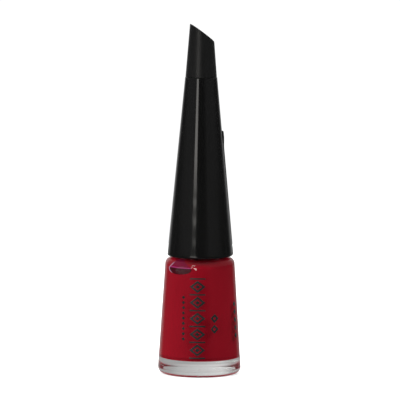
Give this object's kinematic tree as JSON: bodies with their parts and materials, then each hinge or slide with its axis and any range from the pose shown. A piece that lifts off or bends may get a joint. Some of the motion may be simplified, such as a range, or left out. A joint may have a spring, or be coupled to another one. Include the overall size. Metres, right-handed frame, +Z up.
{
  "type": "nail polish bottle",
  "caption": "Tapered round glass nail polish bottle with a tall slant-tipped conical screw cap that carries the lacquer brush.",
  "frame": {"origin": "centre of the standing ring, on the plane the bottle stands on", "axes": "+Z up the shared axis of bottle, brush and cap; -Y is the printed front; the cap's rib and low side are 14 degrees from +X towards +Y"},
  "size_m": [0.0272, 0.0272, 0.1155],
  "materials": {
    "clear_glass": "polished clear soda-lime glass",
    "red_lacquer": "opaque creamy red liquid lacquer",
    "ball_steel": "polished stainless steel",
    "label_paper": "blank film label, matte",
    "dark_foil": "dark hot-stamped foil with a cool sheen",
    "liner_white": "soft expanded polyethylene",
    "stem_plastic": "moulded polyethylene",
    "staple_brass": "bright cut wire",
    "nylon_filament": "fine nylon filaments",
    "inner_cap_plastic": "moulded polypropylene",
    "gloss_black": "high gloss moulded black",
    "satin_black": "satin moulded black"
  },
  "bodies": {
    "bottle": {"glass_bottle": "clear_glass", "lacquer": "red_lacquer", "mixing_ball_1": "ball_steel", "mixing_ball_2": "ball_steel", "underside_label": "label_paper", "front_ornament": "dark_foil", "side_ornament": "dark_foil"},
    "seal": {"sealing_liner": "liner_white"},
    "brush": {"brush_stem": "stem_plastic", "brush_staple": "staple_brass", "bristles": "nylon_filament"},
    "cap": {"inner_cap": "inner_cap_plastic", "overcap": "gloss_black", "cap_tip": "satin_black"}
  },
  "joints": [
    {"name": "lift_off", "type": "slide", "parent": "bottle", "child": "seal", "axis": [0, 0, 1], "range_m": [0, 0.06]},
    {"name": "thread_rise", "type": "slide", "parent": "seal", "child": "brush", "axis": [0, 0, 1], "range_m": [0, 0.0037]},
    {"name": "cap_unscrew", "type": "hinge", "parent": "brush", "child": "cap", "pos_m": [0, 0, 0], "axis": [0, 0, 1], "range_deg": [0, 630]}
  ],
  "couplings": [
    {"joint": "cap_unscrew", "follows": "thread_rise", "rad_per_m": 2968}
  ]
}
